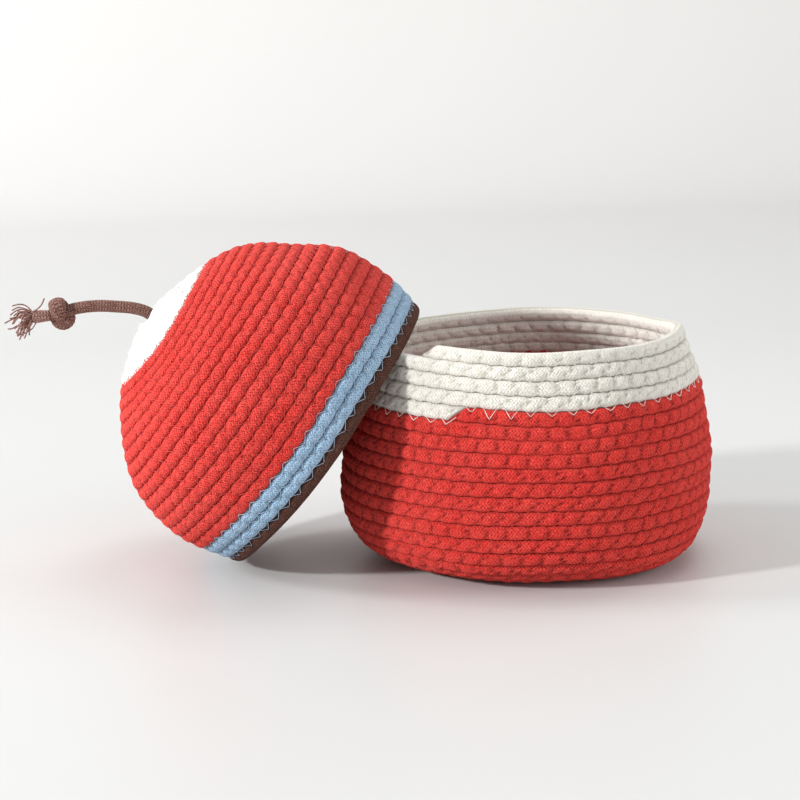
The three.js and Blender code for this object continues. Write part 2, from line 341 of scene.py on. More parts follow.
# The zigzag that joins two rows, in millimetres. Needle pits pucker the cover into slanted lumps.
sewing = {
    "thread": 0.28,
    "legWidth": 0.6,
    "legDepth": 0.25,
    "pitWidth": 0.7,
    "pitDepth": 1.1,
    "foldWidth": 0.65,
    "foldLength": 2.6,
    "foldSlant": 52,
    "foldCore": 0.64,
    "valleyWidth": 2.8,
    "legFade": 0.6,
    "bridge": 0.9,
    "dive": 0.8,
    "leftOut": 3,  # legs missing at the very end of a rim
    "pace": [(0.05, 2.3, 1.0), (0.035, 5.1, 0.0)],  # the hand's waves: amount, rate, start
    "reach": [(0.1, 3.9, 0.5), (0.06, 9.7, 0.0)],
}


def handWaves(at, waves):
    return sum(amount * np.sin(rate * at + start) for amount, rate, start in waves)


# The profile as a line of points, and where each turn back from the rim lies on it, with the
# length of rope and the count of stitches up to there.
def makeCoil(shape, place, sways):
    t = np.linspace(0, 1, coilDetail["curveSteps"])[:, None]
    lines = []
    for curve in shape["curves"]:
        a, b, c, d = (np.array(point, float) for point in curve)
        u = 1 - t
        lines.append(u**3 * a + 3 * u * u * t * b + 3 * u * t * t * c + t**3 * d)
    line = np.vstack([lines[0]] + [more[1:] for more in lines[1:]]) * mm
    along = np.concatenate([[0], np.cumsum(np.linalg.norm(np.diff(line, axis=0), axis=1))])
    run = np.gradient(line, along, axis=0)
    run /= np.linalg.norm(run, axis=1)[:, None]
    length = along[-1]
    steps = round(length / mm / shape["rowPitch"] * stepsPerTurn)
    pitch = length / steps * stepsPerTurn
    turns = np.linspace(-coilDetail["pastRim"], steps / stepsPerTurn, coilDetail["samples"])
    radius = np.interp(length - turns * pitch, along, line[:, 0])
    grooveRadius = np.interp(length - (turns + 0.5) * pitch, along, line[:, 0])
    tread = turns[1] - turns[0]
    rope = np.concatenate([[0], np.cumsum(np.hypot(fullTurn * radius, pitch)[1:] * tread)])
    groove = np.concatenate([[0], np.cumsum(fullTurn * grooveRadius[1:] * tread)])
    rope -= np.interp(0, turns, rope)
    count = groove / (shape["stitch"] * mm)
    return {
        **shape,
        "sways": sways,
        "phase": count + handWaves(count, sewing["pace"]),
        "along": along,
        "line": line,
        "run": run,
        "length": length,
        "pitch": pitch,
        "turns": turns,
        "ropeLength": rope,
        "place": np.array(place),
    }


# Points on a coil with the directions outwards and rimwards, for turns back from its end.
def coilFrames(coil, turns, past=0.0):
    reach = coil["length"] - (turns + past) * coil["pitch"]
    radius = np.interp(reach, coil["along"], coil["line"][:, 0])
    height = np.interp(reach, coil["along"], coil["line"][:, 1])
    runOut = np.interp(reach, coil["along"], coil["run"][:, 0])
    runUp = np.interp(reach, coil["along"], coil["run"][:, 1])
    angle = math.radians(coil["endAngle"]) - coil["sense"] * turns * fullTurn
    sine, cosine = np.sin(angle), np.cos(angle)
    point = np.stack([-radius * sine, -radius * cosine, height], 1)
    outwards = coil["outside"] * np.stack([-runUp * sine, -runUp * cosine, -runOut], 1)
    rimwards = np.stack([-runOut * sine, -runOut * cosine, runUp], 1)
    return point, outwards, rimwards


# Handmade unevenness: neighbouring rows drift together, by parts of a millimetre. Each kind
# has its seed, its wavelength and its amount.
unevenness = {
    "waves": 5,
    "gain": 1.6,
    "inOut": [(3, 0.07, 0.45 * mm), (5, 0.021, 0.16 * mm)],
    "upDown": (8, 0.06, 0.3 * mm),
    "fullness": (11, 0.013, 0.035),
}


def drift(points, seed, wavelength, amount):
    chance = np.random.default_rng(seed)
    total = np.zeros(len(points))
    for _ in range(unevenness["waves"]):
        direction = chance.normal(size=3)
        direction *= fullTurn / wavelength / np.linalg.norm(direction)
        total += np.sin(points @ direction + chance.uniform(0, fullTurn))
    return total / unevenness["waves"] * amount * unevenness["gain"]


# Where the soft basket departs from a round one: angle from the front towards the left and
# its spread in degrees, height and its spread, then how far out and up, in millimetres.
basketSway = [
    (-44, 52, 5, 13, 5.8, 0.0),
    (-90, 45, 18, 14, -1.6, 0.0),
    (0, 45, 4, 12, -1.6, 0.4),
    (50, 52, 4, 13, -1.6, 1.2),
    (-90, 55, 40, 12, -1.4, 0.0),
    (-90, 55, 92, 17, 2.0, 0.0),
    (90, 55, 90, 16, -2.6, 0.0),
    (92, 60, 34, 14, 2.0, 0.0),
    (95, 75, 112, 26, 0.0, 3.0),
    (38, 45, 106, 26, 0.0, 2.0),
    (-12, 40, 84, 12, 0.0, -1.2),
    (-90, 50, 88, 10, 0.0, 1.8),
    (180, 75, 84, 13, 0.0, 3.6),
    (-175, 70, 114, 16, 0.0, 2.0),
    (-88, 26, 116, 10, 1.4, 1.6),
]
lidSway = [
    (90, 85, 100, 10, 1.7, 1.7),
    (0, 60, 92, 14, 0.0, -2.2),
    (-90, 85, 4, 34, 0.0, -2.6),
    (-8, 70, 12, 42, 0.4, -2.6),
    (72, 66, 16, 30, 0.0, 2.3),
    (90, 60, 68, 16, 1.6, 0.0),
    (90, 60, 14, 14, -1.5, 0.0),
    (-90, 50, 90, 12, 1.5, 1.6),
    (-90, 50, 64, 15, -4.0, 0.0),
    (-90, 50, 30, 14, -1.0, 0.0),
]


# Moves points by every sway near them. Inside the calm radius the sways fade to nothing.
def swayed(points, sways, calm):
    angle = np.degrees(np.arctan2(-points[:, 0], -points[:, 1]))
    outOf = np.hypot(points[:, 0], points[:, 1])[:, None]
    radial = points * [1, 1, 0] / np.maximum(outOf, 1e-6)
    moved = points.copy()
    for middle, spreadBy, height, tall, out, up in sways:
        apart = (angle - middle + 180) % 360 - 180
        share = np.cos(np.clip(apart / spreadBy, -1, 1) * math.pi / 2) ** 2
        share = share * np.exp(-((points[:, 2] / mm - height) / tall) ** 2)
        share = share * np.clip(outOf[:, 0] / max(calm, 1e-6), 0, 1)
        moved += radial * (share * out * mm)[:, None]
        moved[:, 2] += share * up * mm
    return moved


def settle(points, outwards, rimwards, coil):
    inOut = sum(drift(points, *kind) for kind in unevenness["inOut"])
    upDown = drift(points, *unevenness["upDown"])
    moved = points + outwards * inOut[:, None] + rimwards * upDown[:, None]
    return swayed(moved, coil["sways"], coil["calmRadius"] * mm)


def triangleWave(phase):
    return 4 * np.abs(phase - np.floor(phase) - 0.5) - 1


# How far each stitch reaches from its groove; a few long ones catch the basket's splice.
def reachOf(coil, turns, phase, across):
    reach = coil["reach"] * mm * (1 + handWaves(phase, sewing["reach"]))
    first, last, factor = coil["longStitches"]
    long = (turns > first) & (turns < last) & (across < 0)
    return np.where(long, reach * factor, reach)


# How far the sewing draws the rope's surface in, at places across the rope. side is 1 for the
# groove towards the rim and -1 for the other one.
def drawnIn(coil, across, turns, phase, side):
    half = coil["pitch"] / 2
    turns, phase = turns[:, None], phase[:, None]
    fromGroove = across - side * half
    reach = reachOf(coil, turns, phase, fromGroove)
    leg = reach * triangleWave(phase)
    slope = math.cos(math.atan(4 * coil["reach"] / coil["stitch"]))
    crease = np.exp(-((fromGroove - leg) * slope / (sewing["legWidth"] * mm)) ** 2)
    crease *= np.clip(0.5 - side * leg / (sewing["legFade"] * mm), 0, 1) * sewing["legDepth"]
    ahead = phase + (0.5 if side > 0 else 0.0)
    ahead = (ahead - np.round(ahead)) * coil["stitch"] * mm
    over = fromGroove + side * reach
    pit = np.exp(-(ahead**2 + over**2) / (sewing["pitWidth"] * mm) ** 2) * sewing["pitDepth"]
    slant = math.radians(sewing["foldSlant"])
    lengthwise = (ahead * math.cos(slant) + over * math.sin(slant)) / (sewing["foldLength"] * mm)
    sideways = (over * math.cos(slant) - ahead * math.sin(slant)) / (sewing["foldWidth"] * mm)
    core = sewing["foldCore"] * np.exp(-(sideways**2))
    valley = (1 - sewing["foldCore"]) * np.exp(-((sideways / sewing["valleyWidth"]) ** 2))
    fold = (core + valley) * np.exp(-(lengthwise**2)) * coil["foldDepth"]
    return np.maximum(np.maximum(crease, pit), fold) * mm


# The rope's section. Its outer half has finer steps, and the sewing's marks fade towards the
# grooves. The edges sway, and darken with painted shade in the grooves, from a share of the way out
# to them, over a further share.
ropeDetail = {
    "spacing": 0.85,
    "outerSteps": 12,
    "innerSteps": 7,
    "mostStretch": 1.15,
    "markFade": 0.4,
    "swayFrom": 0.45,
    "swayOver": 0.5,
    "darkFrom": 0.9,
    "darkOver": 0.1,
}
ropeEnd = {
    "taper": 8.0,
    "tip": 0.1,
    "slimming": 0.4,
    "thinnest": 0.02,
    "round": 1.0,
    "blunt": 0.98,
    "splice": 9.5,
}


def sectionAngles():
    outer = np.linspace(-90, 90, ropeDetail["outerSteps"] + 1)
    inner = np.linspace(90, 270, ropeDetail["innerSteps"] + 1)
    return np.radians(np.concatenate([outer[:-1], inner]))


def superellipse(angles, power):
    across = np.sign(np.sin(angles)) * np.abs(np.sin(angles)) ** (2 / power)
    outward = np.sign(np.cos(angles)) * np.abs(np.cos(angles)) ** (2 / power)
    return across, outward


def unit(vectors):
    return vectors / np.linalg.norm(vectors, axis=-1, keepdims=True)


def smooth(share):
    share = np.clip(share, 0, 1)
    return share * share * (3 - 2 * share)


# A grid whose two long edges are joined into a tube, with its ends closed. Cover is its map along
# and round the tube, and the last table is painted shade, darkest where the sewing draws it in,
# along the grooves and between plaits.
def tubeMesh(name, positions, cover, paintedShade):
    rings, sides = positions.shape[:2]
    bm = bmesh.new()
    bm.loops.layers.uv.new("cover")
    bmesh.ops.create_grid(bm, x_segments=rings - 1, y_segments=sides - 1, size=0.5, calc_uvs=True)
    mesh = bpy.data.meshes.new(name)
    bm.to_mesh(mesh)
    bm.free()
    flat = np.empty(len(mesh.vertices) * 3)
    mesh.vertices.foreach_get("co", flat)
    grid = flat.reshape(-1, 3)
    ringAt = np.rint((grid[:, 0] + 0.5) * (rings - 1)).astype(int)
    sideAt = np.rint((grid[:, 1] + 0.5) * (sides - 1)).astype(int)
    mesh.vertices.foreach_set("co", positions[ringAt, sideAt].ravel())
    corner = np.empty(len(mesh.loops), int)
    mesh.loops.foreach_get("vertex_index", corner)
    mesh.uv_layers["cover"].data.foreach_set("uv", cover[ringAt[corner], sideAt[corner]].ravel())
    mesh.attributes.new("drawnIn", "FLOAT", "POINT").data.foreach_set(
        "value", paintedShade[ringAt, sideAt].astype(np.float32)
    )
    bm = bmesh.new()
    bm.from_mesh(mesh)
    bm.verts.ensure_lookup_table()
    seam = [bm.verts[i] for i in np.flatnonzero((sideAt == 0) | (sideAt == sides - 1))]
    bmesh.ops.remove_doubles(bm, verts=seam, dist=1e-7)
    rims = [edge for edge in bm.edges if edge.is_boundary]
    bmesh.ops.holes_fill(bm, edges=rims, sides=0)
    bmesh.ops.recalc_face_normals(bm, faces=bm.faces)
    bm.to_mesh(mesh)
    bm.free()
    mesh.shade_smooth()
    return mesh


def settleLid(piece):
    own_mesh(piece)


# Each piece rides on its body and, where the solids have its like, stands in for that node.
def addPiece(name, mesh, finish, body, slot, *nodes):
    piece = bpy.data.objects.new(name, mesh)
    bpy.context.scene.collection.objects.link(piece)
    mesh.materials.clear()
    mesh.materials.append(finish)
    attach(piece, body)
    if nodes:
        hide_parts(*nodes)
    return piece


def addSewnPiece(name, mesh, finish, body, slot, *nodes):
    piece = addPiece(name, mesh, finishes[finish], body, slot, *nodes)
    if body == "lid":
        settleLid(piece)
    print(name, len(mesh.polygons), "faces")


def placed(points, place):
    shape = points.shape
    moved = points.reshape(-1, 3) @ place[:3, :3].T + place[:3, 3]
    moved[:, 2] = np.maximum(moved[:, 2], floorRest)
    return moved.reshape(shape)


# The base starts from a half circle round the middle, before which the rope's squeezed end
# fills the eye of the spiral. Its angles are counted from the half circle's end.
squeezedEnd = {
    "angle": [285, 230, 180, 135, 95],
    "radius": [1.13, 0.96, 0.76, 0.5, 0.25],  # in row widths
    "halfWidth": [0.2, 0.32, 0.38, 0.44, 0.48],
    "rings": 14,
}


def squeezedPart(key, share):
    values = squeezedEnd[key]
    return np.interp(share, np.linspace(0, 1, len(values)), values)[:, None]


def startBend(coil, turns, spacing):
    bend = coil["pitch"] / 2
    angle = math.radians(coil["endAngle"]) - turns * fullTurn
    outwards = np.array([-math.sin(angle), -math.cos(angle), 0])
    onwards = np.array([-math.cos(angle), math.sin(angle), 0])
    turn = np.linspace(0, math.pi, int(math.pi * bend / spacing) + 2)[:-1, None]
    side = -outwards * np.cos(turn) - onwards * np.sin(turn)
    middle = outwards * bend + np.array([0, 0, coil["line"][0, 1]])
    line = middle + side * bend

    share = np.linspace(0, 1, squeezedEnd["rings"])
    around = np.radians(squeezedPart("angle", share))
    eye = outwards * np.cos(around) + onwards * np.sin(around)
    eye = eye * squeezedPart("radius", share) * coil["pitch"] + [0, 0, line[0, 2]]
    ahead = unit(np.gradient(np.vstack([eye, line[:1]]), axis=0)[:-1])
    across = (ahead @ onwards)[:, None] * outwards - (ahead @ outwards)[:, None] * onwards
    eyeWidth = squeezedPart("halfWidth", share)[:, 0] * coil["pitch"]
    width = np.concatenate([eyeWidth, np.full(len(turn), bend)])
    down = np.tile([0, 0, -1.0], (len(width), 1))
    return np.vstack([eye, line]), down, np.vstack([across, side]), width


def ropeLengthAt(coil, turns):
    return np.interp(turns, coil["turns"], coil["ropeLength"])


# The rope's line from a step of the winding to a lower one, with its joints as lengths of rope
# back from the rim. The base rope has its start bend in front, whose half widths come last.
def ropeLine(coil, first, last, spliceFirst, spliceLast):
    spacing = ropeDetail["spacing"] * mm
    splice = ropeEnd["splice"] * mm
    firstJoint = ropeLengthAt(coil, first / stepsPerTurn)
    lastJoint = ropeLengthAt(coil, last / stepsPerTurn)
    start = firstJoint + (splice / 2 if spliceFirst else 0)
    end = lastJoint - (splice / 2 if spliceLast else 0)
    if last == 0:
        end = lastJoint = -coil["ropePast"] * mm
    length = np.linspace(start, end, int((start - end) / spacing) + 2)
    turns = np.interp(length, coil["ropeLength"], coil["turns"])
    frames = coilFrames(coil, turns)
    bendWidth = []
    if first == coil["bendAt"]:
        *bend, bendWidth = startBend(coil, first / stepsPerTurn, spacing)
        frames = [np.vstack(pair) for pair in zip(bend, frames)]
        extra = len(bendWidth)
        length = np.concatenate([length[0] + spacing * np.arange(extra, 0, -1), length])
        turns = np.concatenate([np.full(extra, turns[0]), turns])
    return length, turns, frames, (firstJoint, lastJoint), bendWidth


# The rope's two edges, measured from its line across it, and the size of its section. It
# tapers at splices and at the rim.
def ropeEdges(coil, length, last, joints, bendWidth, spliceFirst, spliceLast):
    half = coil["pitch"] / 2
    splice = ropeEnd["splice"] * mm
    extra = len(bendWidth)
    low = np.full(len(length), -half)
    high = np.full(len(length), half)
    if extra:
        low[:extra], high[:extra] = -bendWidth, bendWidth
    if spliceFirst:
        low = np.clip((length - joints[0]) / (splice / 2), -1, 1) * half
    if spliceLast:
        high = np.clip((length - joints[1]) / (splice / 2), -1, 1) * half
    if last == 0:
        fromEnd = np.clip((length - joints[1]) / (ropeEnd["taper"] * mm), 0, 1)
        thin = ropeEnd["tip"] + (1 - ropeEnd["tip"]) * fromEnd
        high = np.where(fromEnd < 1, -half + 2 * half * thin, high)
    size = np.clip((high - low) / (2 * half), ropeEnd["thinnest"], 1) ** ropeEnd["slimming"]
    if last == 0:
        nose = np.clip(1 - (length - joints[1]) / (ropeEnd["round"] * mm), 0, ropeEnd["blunt"])
        size = size * np.sqrt(1 - nose**2)
    return low, high, size


# One rope with its relief. Relief is how strongly the sewing draws it in, and so how much painted
# shade its pits and creases get.
def ropeMesh(name, coil, first, last, spliceFirst, spliceLast, relief):
    half, crown = coil["pitch"] / 2, coil["crown"] * mm
    length, turns, frames, joints, bendWidth = ropeLine(coil, first, last, spliceFirst, spliceLast)
    point, outwards, rimwards = frames
    extra = len(bendWidth)

    # Where soft shapes move the rows apart, the rope spreads with them, so no gap opens.
    farEdge, rimEdge = (
        settle(point + side * half * rimwards, outwards, rimwards, coil) for side in (-1, 1)
    )
    apart = np.linalg.norm(rimEdge - farEdge, axis=1) / (2 * half)
    stretch = np.clip(apart, 1, ropeDetail["mostStretch"])[:, None]
    point = settle(point, outwards, rimwards, coil)

    low, high, size = ropeEdges(coil, length, last, joints, bendWidth, spliceFirst, spliceLast)
    unitAcross, unitOut = superellipse(sectionAngles(), coil["power"])
    across = (low + high)[:, None] / 2 + (high - low)[:, None] / 2 * unitAcross * coil["pressed"]
    outward = crown * size[:, None] * unitOut
    fullness = drift(np.stack([length, turns, turns * 0], 1), *unevenness["fullness"])
    outward = outward * (1 + fullness[:, None])

    innerPhase = np.interp(turns, coil["turns"], coil["phase"])
    rimPhase = np.interp(turns - 1, coil["turns"], coil["phase"])
    hasRimSeam = (turns >= 1)[:, None]
    drawn = drawnIn(coil, across, turns, innerPhase, -1)
    fromRim = drawnIn(coil, across, turns - 1, rimPhase, 1) * hasRimSeam
    drawn = np.maximum(drawn, fromRim)
    drawn[:extra] = 0
    drawn = drawn * np.abs(unitOut) ** ropeDetail["markFade"] * relief
    edge = smooth((np.abs(unitAcross) - ropeDetail["swayFrom"]) / ropeDetail["swayOver"])
    edge = edge * coil["edgeSway"] * mm
    sway = np.where(unitAcross < 0, triangleWave(innerPhase)[:, None], 0)
    sway = sway + np.where((unitAcross > 0) & hasRimSeam, triangleWave(rimPhase)[:, None], 0)
    sway[:extra] = 0
    shrink = 1 - drawn / np.maximum(np.hypot(across, outward), 1e-5)
    across = (across * shrink + edge * sway) * stretch
    outward = outward * shrink
    positions = (
        point[:, None, :]
        + rimwards[:, None, :] * across[:, :, None]
        + outwards[:, None, :] * outward[:, :, None]
    )

    stepsRound = np.hypot(np.diff(unitAcross) * half, np.diff(unitOut) * crown)
    aroundRope = np.concatenate([[0], np.cumsum(stepsRound)])
    cover = np.stack(np.broadcast_arrays(length[:, None], aroundRope[None, :]), 2)
    # Painted shade: darker along the grooves between rows and where the sewing draws the rope in.
    grooveShade = (np.abs(unitAcross) - ropeDetail["darkFrom"]) / ropeDetail["darkOver"]
    grooveShade = np.clip(grooveShade, 0, 1) * coil["grooveShade"]
    paintedShade = np.maximum(drawn / (sewing["pitDepth"] * mm), grooveShade)
    return tubeMesh(name, placed(positions, coil["place"]), cover, paintedShade)


coils = {
    "basket": makeCoil(basketShape, Matrix.Identity(4), basketSway),
    "lid": makeCoil(lidShape, lidToWorld, lidSway),
}

# Where white takes over from red on the basket, in steps back from the rim.
collarJoint = {"rope": 68.68, "seam": 68.8}

# Each rope from the middle to the rim: its name, node, slot and finish, the steps at its two
# ends, counted back from the rim as in the solids, and its relief.
ropes = {
    "basket": [
        ("basket_base_rope", "base_coil", "red_rope", "red_rope", basketShape["bendAt"], 318, 1),
        ("basket_lower_wall_rope", "lower_wall_coil", "red_rope", "red_rope", 318, 188, 1),
        (
            "basket_upper_wall_rope", "upper_wall_coil", "red_rope", "red_rope",
            188, collarJoint["rope"], 1,
        ),
        (
            "basket_collar_rope", "collar_coil", "white_rope", "white_rope",
            collarJoint["rope"], 0, 1,
        ),
    ],
    "lid": [
        ("lid_cap_rope", "lid_cap_coil", "white_rope", "cap_rope_painted_whiter", 383, 306, 0.35),
        ("lid_crown_rope", "lid_crown_coil", "red_rope", "lid_rope_painted_lighter", 306, 170, 1),
        ("lid_dome_rope", "lid_dome_coil", "red_rope", "lid_rope_painted_lighter", 170, 51, 1),
        ("lid_band_rope", "lid_band_coil", "blue_rope", "blue_rope", 51, 17, 1),
        ("lid_rim_rope", "lid_rim_cord", "brown_rope", "brown_rope", 17, 0, 1),
    ],
}
for body, bodyRopes in ropes.items():
    slots = [rope[2] for rope in bodyRopes]
    for i, (name, node, slot, finish, first, last, relief) in enumerate(bodyRopes):
        # Ropes of two colours meet in a splice.
        spliceFirst = i > 0 and slots[i - 1] != slot
        spliceLast = i + 1 < len(slots) and slots[i + 1] != slot
        mesh = ropeMesh(name, coils[body], first, last, spliceFirst, spliceLast, relief)
        addSewnPiece(name, mesh, finish, body, slot, node)


# The sewing thread of one groove after another, as one zigzag on a face of the wall. The
# shares are the places of its points along one leg; at 0 the thread dives through the wall.
legShares = np.array([0.0, 0.08, 0.26, 0.42, 0.58, 0.74, 0.92])


def threadLine(coil, first, last, face):
    half, crown = coil["pitch"] / 2, coil["crown"] * mm
    ends = np.interp([last / stepsPerTurn, first / stepsPerTurn], coil["turns"], coil["phase"])
    leftOut = sewing["leftOut"] if last == 0 else 0
    legs = np.arange(math.ceil(ends[0] * 2) + leftOut, math.floor(ends[1] * 2))
    phase = ((legs[:, None] + legShares[None, :]) / 2).ravel()
    turns = np.interp(phase, coil["phase"], coil["turns"])
    point, outwards, rimwards = coilFrames(coil, turns, past=0.5)
    point = settle(point, outwards, rimwards, coil)
    wave = triangleWave(phase)
    across = wave * reachOf(coil, turns, phase, wave)
    fromMiddle = np.clip(1 - np.maximum(np.abs(across), sewing["bridge"] * mm) / half, 0, 1)
    fromMiddle = fromMiddle / coil["pressed"]
    height = crown * (1 - fromMiddle ** coil["power"]) ** (1 / coil["power"])
    height = height - sewing["legDepth"] * mm * np.abs(wave)
    height[np.tile(legShares == 0, len(legs))] -= sewing["dive"] * mm
    across = across + coil["edgeSway"] * mm * wave * (np.abs(across) < half / 2)
    line = point + rimwards * across[:, None] + outwards * (face * height)[:, None]
    return placed(line, coil["place"])


def threadMesh(name, lines, thickness):
    curve = bpy.data.curves.new(name, "CURVE")
    curve.dimensions = "3D"
    curve.bevel_depth = thickness / 2
    curve.bevel_resolution = 0
    curve.use_fill_caps = True
    for line in lines:
        spline = curve.splines.new("POLY")
        spline.points.add(len(line) - 1)
        spline.points.foreach_set("co", np.column_stack([line, np.ones(len(line))]).ravel())
    holder = bpy.data.objects.new(name, curve)
    bpy.context.scene.collection.objects.link(holder)
    mesh = bpy.data.meshes.new_from_object(
        holder.evaluated_get(bpy.context.evaluated_depsgraph_get())
    )
    bpy.data.objects.remove(holder)
    bpy.data.curves.remove(curve)
    mesh.name = name
    mesh.shade_smooth()
    return mesh


# Each seam: its name, body, thread and slot, and the steps at its two ends back from the rim.
seams = [
    ("basket_seam_red", "basket", "red_thread", "red_rope", 437, collarJoint["seam"]),
    ("basket_seam_white", "basket", "white_thread", "white_rope", collarJoint["seam"], 0),
    ("lid_seam_white", "lid", "white_thread", "white_rope", 366, 306),
    ("lid_seam_red", "lid", "red_thread", "red_rope", 306, 51),
    ("lid_seam_pale", "lid", "pale_thread", "blue_rope", 51, 0),
]
for seam, body, finish, slot, first, last in seams:
    for face, word in ((1, "outside"), (-1, "inside")):
        name = f"{seam}_{word}"
        line = threadLine(coils[body], first, last, face)
        addSewnPiece(name, threadMesh(name, [line], sewing["thread"] * mm), finish, body, slot)


# The handle: one braided cord through the lid's middle, in millimetres of the lid's frame.
handle = {
    "route": [
        (0, 99), (0.7, 103.2), (1.5, 107.9), (1.2, 112.2), (-1.1, 118.4),
        (-4.6, 124.7), (-8.4, 131.1), (-12.6, 136.8), (-17.2, 141.8),
    ],
    "radius": 3.0,
    "spacing": 0.3,
    "sides": 56,
    "plaits": 18,
    "plaitLength": 1.4,
    "plaitHeight": 0.17,
    "plaitShade": 0.45,
    "endOnwards": (-0.988, 0, -0.18),  # how the knot and the frayed end lie, in the world
    "endUp": (-0.18, 0, 0.988),
}


# A line through points, as close points at even distances.
def smoothLine(points, spacing, stepsBetween=24):
    points = np.array(points, float)
    padded = np.vstack([2 * points[0] - points[1], points, 2 * points[-1] - points[-2]])
    t = np.linspace(0, 1, stepsBetween, endpoint=False)[:, None]
    parts = []
    for a, b, c, d in zip(padded, padded[1:], padded[2:], padded[3:]):
        curve = 2 * b + (c - a) * t + (2 * a - 5 * b + 4 * c - d) * t**2
        parts.append((curve + (3 * b - a - 3 * c + d) * t**3) / 2)
    line = np.vstack([*parts, points[-1:]])
    along = np.concatenate([[0], np.cumsum(np.linalg.norm(np.diff(line, axis=0), axis=1))])
    even = np.linspace(0, along[-1], max(int(along[-1] / spacing) + 1, 4))
    return np.stack([np.interp(even, along, line[:, axis]) for axis in range(3)], 1)


# A braided tube along a line in metres, with painted shade in the dips between its plaits. Its
# thickness looks away from a point, or towards +Y.
def braidMesh(name, line, thickness, width=None, away=None):
    tangent = unit(np.gradient(line, axis=0))
    look = np.tile([0.0, 1.0, 0.0], (len(line), 1)) if away is None else line - away
    look = unit(look - tangent * np.sum(look * tangent, axis=1)[:, None])
    side = np.cross(tangent, look)
    angle = np.linspace(0, fullTurn, handle["sides"] + 1)
    along = np.concatenate([[0], np.cumsum(np.linalg.norm(np.diff(line, axis=0), axis=1))])
    run = along[:, None] / (handle["plaitLength"] * mm) * fullTurn
    plait = handle["plaits"] * angle / 2
    relief = np.cos(plait + run / 2) * np.cos(plait - run / 2) * handle["plaitHeight"] * mm
    thickness = np.broadcast_to(thickness, len(line))[:, None]
    width = thickness if width is None else np.broadcast_to(width, len(line))[:, None]
    lookward = ((thickness * mm + relief) * np.cos(angle))[..., None]
    sideways = ((width * mm + relief) * np.sin(angle))[..., None]
    positions = line[:, None] + look[:, None] * lookward + side[:, None] * sideways
    cover = np.stack(np.broadcast_arrays(along[:, None], angle * handle["radius"] * mm), 2)
    # Painted shade: darker where the plaits dip.
    paintedShade = np.clip(handle["plaitShade"] - relief / (handle["plaitHeight"] * mm), 0, 1)
    return tubeMesh(name, positions, cover, paintedShade)


def joinMeshes(name, meshes):
    bm = bmesh.new()
    for part in meshes:
        bm.from_mesh(part)
    mesh = bpy.data.meshes.new(name)
    bm.to_mesh(mesh)
    bm.free()
    for part in meshes:
        bpy.data.meshes.remove(part)
    return mesh


# A place on the handle from three lengths in millimetres: onwards along the cord, up, towards
# the viewer.
def fromCordEnd(frameOfEnd, points):
    origin, onwards, up = frameOfEnd
    across = np.array([0.0, -1.0, 0.0])
    points = np.array(points, float)
    return origin + (points[:, :1] * onwards + points[:, 1:2] * up + points[:, 2:] * across) * mm


# An overhand knot pulled tight: the cord's own line, a loop below it and two wraps over it.
# Each has its half thickness; the wraps are wider than thick and swell in their middle.
knot = {
    "middle": (8.2, -1.2, 0),
    "core": [(-0.2, 0, 0), (4, -0.3, -0.4), (9, -0.9, -0.4), (13.6, -0.9, 0)],
    "coreThick": 3.0,
    "loopMiddle": (7.4, -3.3, -1.4),
    "loopRadius": 3.9,
    "loopTurn": (-10, 350),
    "loopSteps": 60,
    "loopThick": 2.5,
    "front": [
        (8.6, 4.2, -2.6), (8.2, 5.1, 1.2), (7.9, 3.0, 4.8), (7.6, -1.2, 5.8), (7.3, -4.4, 5.0),
    ],
    "frontThick": 2.5,
    "frontWide": 4.4,
    "frontSwell": (0.25, 0.9),
    "frontFullness": 0.8,
    "back": [(6.4, 3.6, -0.6), (6.9, 2.4, -4.2), (8.0, -1.6, -4.8), (8.8, -4.6, -2.6)],
    "backThick": 2.4,
    "backWide": 3.2,
}


def knotMesh(name, frameOfEnd):
    core, front, back = (
        fromCordEnd(frameOfEnd, smoothLine(knot[key], handle["spacing"]))
        for key in ("core", "front", "back")
    )
    turn = np.linspace(*np.radians(knot["loopTurn"]), knot["loopSteps"])[:, None]
    loop = knot["loopRadius"] * np.hstack([np.cos(turn), np.sin(turn), turn * 0])
    loop = fromCordEnd(frameOfEnd, loop + knot["loopMiddle"])
    middle = fromCordEnd(frameOfEnd, [knot["middle"]])
    swell = np.sin(np.linspace(*knot["frontSwell"], len(front)) * math.pi)
    swell = swell ** knot["frontFullness"]
    parts = [
        braidMesh("core", core, knot["coreThick"]),
        braidMesh("loop", loop, knot["loopThick"]),
        braidMesh("front", front, knot["frontThick"] * swell, knot["frontWide"] * swell, middle),
        braidMesh("back", back, knot["backThick"], knot["backWide"], middle),
    ]
    return joinMeshes(name, parts)


# The teased end: a short stub of braid, then loose strands that bend and droop. The long ones
# end at chosen tips, onwards and up; one stray strand runs back over the knot.
fray = {
    "seed": 21,
    "strands": 34,
    "strandThick": 0.75,
    "strandPoints": 9,
    "stub": [(12.6, -0.9, 0), (17, -0.3, 0.2), (21.4, 0.3, 0)],
    "stubThick": (2.6, 3.4),
    "foot": (20.4, 0.1, 0),
    "footSpread": (2.2, 1.9),
    "bend": 0.12,
    "curl": 0.25,
    "curlTurn": 9,
    "arch": 1.6,
    "fanFrom": 20,
    "lean": (-48, 22),
    "reach": (7, 15),
    "depth": 4.5,
    "longTips": [
        (30.6, 8.2), (36.7, 0.2), (35.7, -2.8), (30, -7.4), (26, -8.1), (33, 2.4), (31.6, 5.8),
    ],
    "longDepth": 3,
    "stray": [(22, 2.8, 1.6), (19.5, 3.6, 2.0), (16.4, 5.2, 2.2), (14.4, 7.6, 2), (13.6, 8.6, 2)],
    "straySpacing": 1.2,
}


